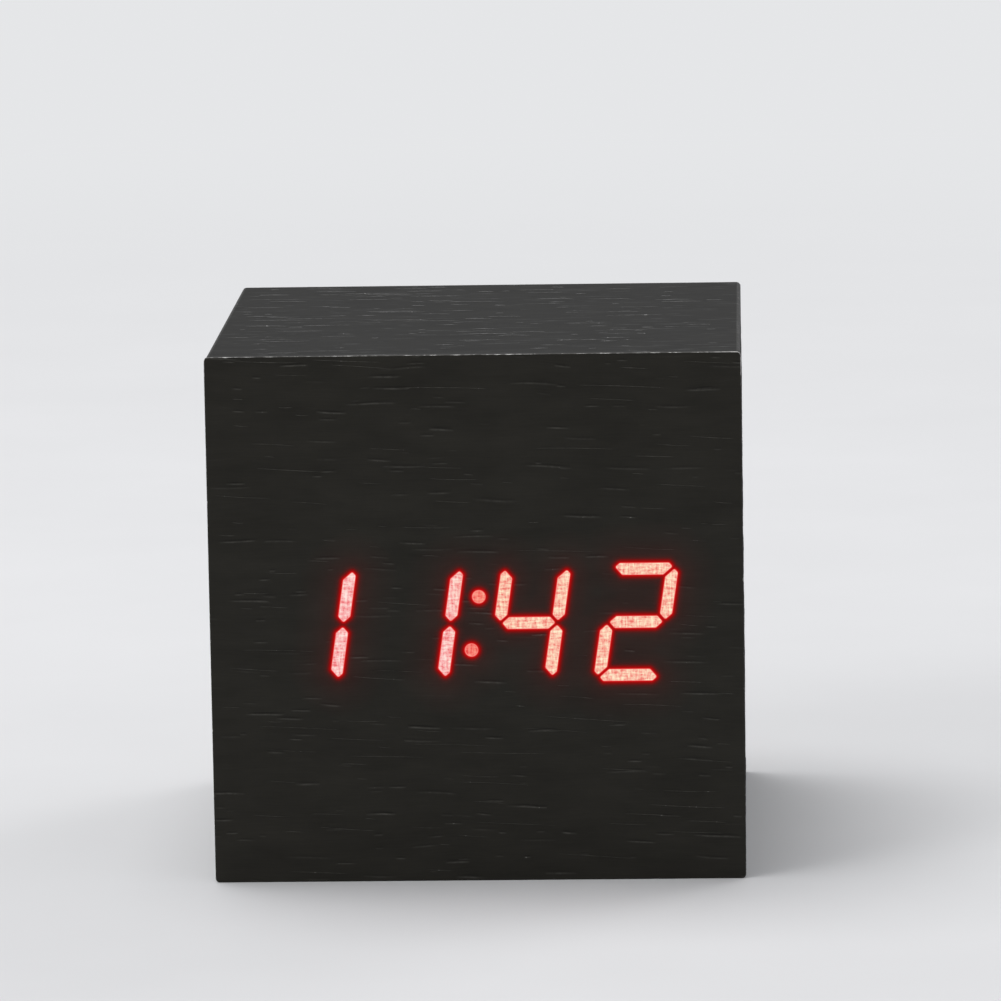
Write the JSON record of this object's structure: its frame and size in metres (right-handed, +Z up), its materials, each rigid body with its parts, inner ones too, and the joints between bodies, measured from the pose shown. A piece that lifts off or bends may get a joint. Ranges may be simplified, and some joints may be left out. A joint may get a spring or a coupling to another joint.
{
  "type": "cube alarm clock",
  "caption": "Black wood-grain cube alarm clock with red LED digits shining through its front film, push buttons, power inlet and battery door on the back.",
  "frame": {"origin": "middle of the base, on the surface that the cube stands on", "axes": "+Z up, the display faces -Y, the back with the buttons, power inlet and battery door faces +Y"},
  "size_m": [0.062, 0.062, 0.062],
  "materials": {
    "grain_film": "black wood-grain film, satin, fine horizontal grain",
    "fibreboard": "raw dark fibreboard",
    "pine": "planed softwood",
    "display_plastic": "black moulded plastic",
    "diffuser": "red-lit diffusing epoxy",
    "led_chip": "bare LED chips",
    "circuit_board": "green solder mask",
    "ivory_plastic": "ivory nylon",
    "zinc_steel": "zinc-plated",
    "dark_steel": "blackened steel",
    "chip_epoxy": "black moulded epoxy",
    "nickel": "nickel-plated",
    "capacitor_sleeve": "shrink sleeve",
    "thermistor_epoxy": "dipped epoxy",
    "ribbon_sleeve": "grey ribbon cable",
    "back_plastic": "black moulded plastic, fine spark texture",
    "button_plastic": "black moulded plastic, satin",
    "jack_plastic": "black moulded plastic",
    "boot_rubber": "soft black rubber",
    "cell_sleeve": "plain printed sleeve on steel",
    "red_wire": "red insulation",
    "black_wire": "black insulation"
  },
  "bodies": {
    "case": {"case_front": "fibreboard", "case_top": "fibreboard", "case_bottom": "fibreboard", "case_left": "fibreboard", "case_right": "fibreboard", "corner_blocks": "pine", "side_veneer": "grain_film", "front_veneer": "grain_film", "display_housing": "display_plastic", "digit_1": "diffuser", "digit_2": "diffuser", "digit_3": "diffuser", "digit_4": "diffuser", "colon": "diffuser", "led_chips": "led_chip", "main_board": "circuit_board", "board_spacers": "ivory_plastic", "board_screws": "zinc_steel", "controller_chip": "chip_epoxy", "clock_crystal": "nickel", "capacitor": "capacitor_sleeve", "buzzer": "chip_epoxy", "thermistor": "thermistor_epoxy", "coin_cell_holder": "ivory_plastic", "coin_cell": "nickel", "coin_cell_strap": "nickel", "ribbon_header": "ivory_plastic", "battery_header": "ivory_plastic", "ribbon_plug": "ivory_plastic", "ribbon_cable": "ribbon_sleeve", "back_panel": "back_plastic", "battery_tray": "back_plastic", "switch_bodies": "zinc_steel", "button_board": "circuit_board", "button_board_screws": "zinc_steel", "power_jack": "jack_plastic", "power_jack_pin": "nickel", "microphone": "nickel", "microphone_boot": "boot_rubber", "back_screws": "dark_steel", "cell_1": "cell_sleeve", "cell_2": "cell_sleeve", "cell_3": "cell_sleeve", "positive_contact": "nickel", "negative_contact": "nickel", "link_contact_left": "nickel", "link_contact_right": "nickel", "cell_springs": "nickel", "battery_lead_red": "red_wire", "battery_lead_black": "black_wire"},
    "set_key": {"set_button": "button_plastic", "set_stem": "chip_epoxy"},
    "up_key": {"up_button": "button_plastic", "up_stem": "chip_epoxy"},
    "down_key": {"down_button": "button_plastic", "down_stem": "chip_epoxy"},
    "door": {"battery_door": "back_plastic"}
  },
  "joints": [
    {"name": "set_press", "type": "slide", "parent": "case", "child": "set_key", "axis": [0, -1, 0], "range_m": [0, 0.0005], "stiffness_N_per_m": 400, "springref_m": -0.001},
    {"name": "up_press", "type": "slide", "parent": "case", "child": "up_key", "axis": [0, -1, 0], "range_m": [0, 0.0005], "stiffness_N_per_m": 400, "springref_m": -0.001},
    {"name": "down_press", "type": "slide", "parent": "case", "child": "down_key", "axis": [0, -1, 0], "range_m": [0, 0.0005], "stiffness_N_per_m": 400, "springref_m": -0.001},
    {"name": "door_hinge", "type": "hinge", "parent": "case", "child": "door", "pos_m": [0, 0.0291, 0.01205], "axis": [-1, 0, 0], "range_deg": [0, 90]}
  ]
}
